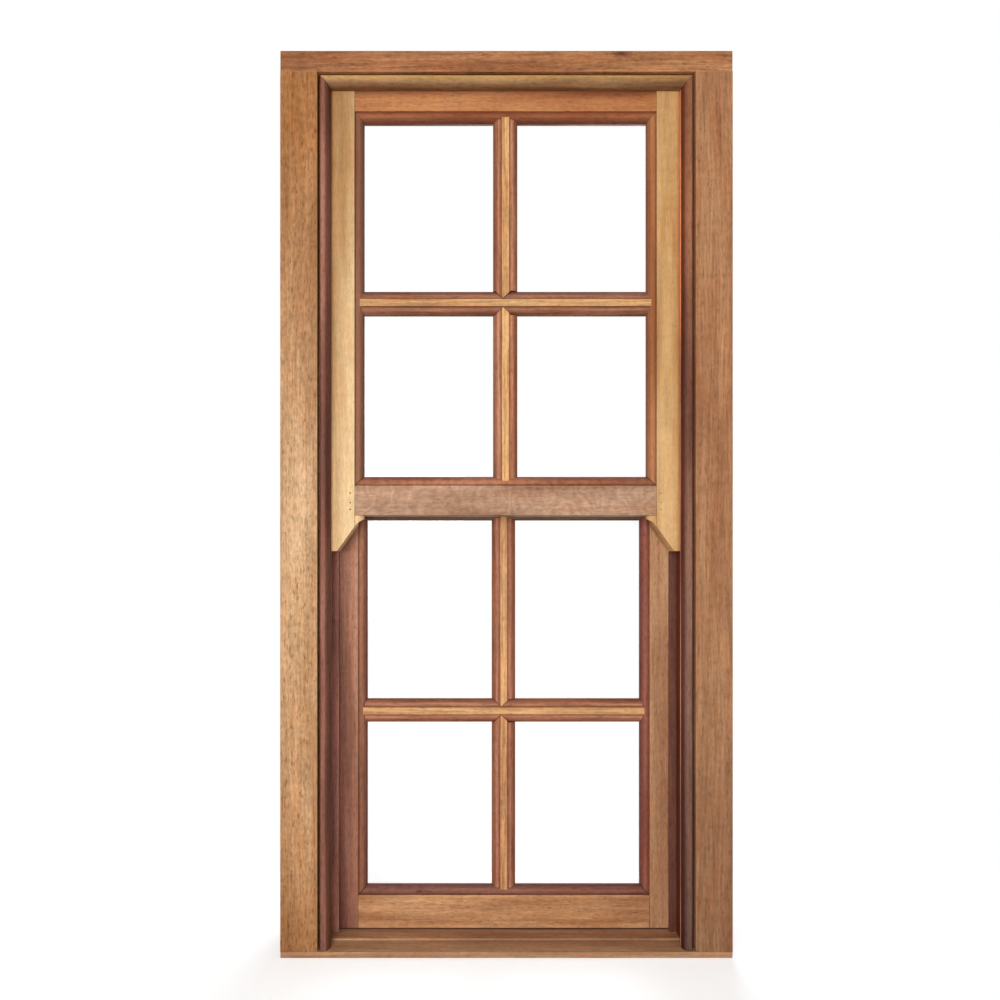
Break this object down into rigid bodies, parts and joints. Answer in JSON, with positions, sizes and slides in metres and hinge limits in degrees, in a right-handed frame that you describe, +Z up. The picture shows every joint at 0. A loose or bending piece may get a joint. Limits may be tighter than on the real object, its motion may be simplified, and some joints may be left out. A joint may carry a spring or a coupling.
{
  "type": "sash window",
  "caption": "Vertical sliding sash window in oiled hardwood: frame, sliding upper sash with horns and sliding lower sash, each with moulded glazing bars and clear panes.",
  "frame": {"origin": "under the middle of the sill, at the middle of the frame's depth", "axes": "+X to the right seen from outside, +Y from the outside to the room, +Z up"},
  "size_m": [0.895, 0.14, 1.795],
  "materials": {
    "frame_wood": "oiled hardwood, open grain",
    "sash_wood": "oiled hardwood, open grain",
    "bead_wood": "oiled hardwood, darker stock",
    "pin_wood": "end grain",
    "glass": "clear float glass",
    "balance_steel": "zinc plated",
    "screw_steel": "zinc plated",
    "nylon": "moulded nylon"
  },
  "bodies": {
    "frame": {"balance_nut_lower_left": "nylon", "balance_nut_lower_right": "nylon", "balance_nut_upper_left": "nylon", "balance_nut_upper_right": "nylon", "balance_screws": "screw_steel", "balance_tube_lower_left": "balance_steel", "balance_tube_lower_right": "balance_steel", "balance_tube_upper_left": "balance_steel", "balance_tube_upper_right": "balance_steel", "head": "frame_wood", "jamb_left": "frame_wood", "jamb_right": "frame_wood", "outer_bead_head": "bead_wood", "outer_bead_left": "bead_wood", "outer_bead_right": "bead_wood", "parting_bead_head": "bead_wood", "parting_bead_left": "bead_wood", "parting_bead_right": "bead_wood", "sill": "frame_wood", "staff_bead_head": "bead_wood", "staff_bead_left": "bead_wood", "staff_bead_right": "bead_wood", "staff_bead_sill": "bead_wood"},
    "upper_sash": {"balance_rod_upper_left": "balance_steel", "balance_rod_upper_right": "balance_steel", "meeting_rail_pins": "pin_wood", "upper_cross_bar": "sash_wood", "upper_glass_bottom_left": "glass", "upper_glass_bottom_right": "glass", "upper_glass_top_left": "glass", "upper_glass_top_right": "glass", "upper_glazing_beads_bottom_left": "bead_wood", "upper_glazing_beads_bottom_right": "bead_wood", "upper_glazing_beads_top_left": "bead_wood", "upper_glazing_beads_top_right": "bead_wood", "upper_meeting_rail": "sash_wood", "upper_stile_left": "sash_wood", "upper_stile_right": "sash_wood", "upper_top_rail": "sash_wood", "upper_upright_bar_bottom": "sash_wood", "upper_upright_bar_top": "sash_wood"},
    "lower_sash": {"balance_rod_lower_left": "balance_steel", "balance_rod_lower_right": "balance_steel", "lower_bottom_rail": "sash_wood", "lower_cross_bar": "sash_wood", "lower_glass_bottom_left": "glass", "lower_glass_bottom_right": "glass", "lower_glass_top_left": "glass", "lower_glass_top_right": "glass", "lower_glazing_beads_bottom_left": "bead_wood", "lower_glazing_beads_bottom_right": "bead_wood", "lower_glazing_beads_top_left": "bead_wood", "lower_glazing_beads_top_right": "bead_wood", "lower_meeting_rail": "sash_wood", "lower_stile_left": "sash_wood", "lower_stile_right": "sash_wood", "lower_upright_bar_bottom": "sash_wood", "lower_upright_bar_top": "sash_wood"}
  },
  "joints": [
    {"name": "upper_sash_slide", "type": "slide", "parent": "frame", "child": "upper_sash", "axis": [0, 0, 1], "range_m": [-0.685, 0]},
    {"name": "lower_sash_slide", "type": "slide", "parent": "frame", "child": "lower_sash", "axis": [0, 0, 1], "range_m": [0, 0.685]}
  ]
}
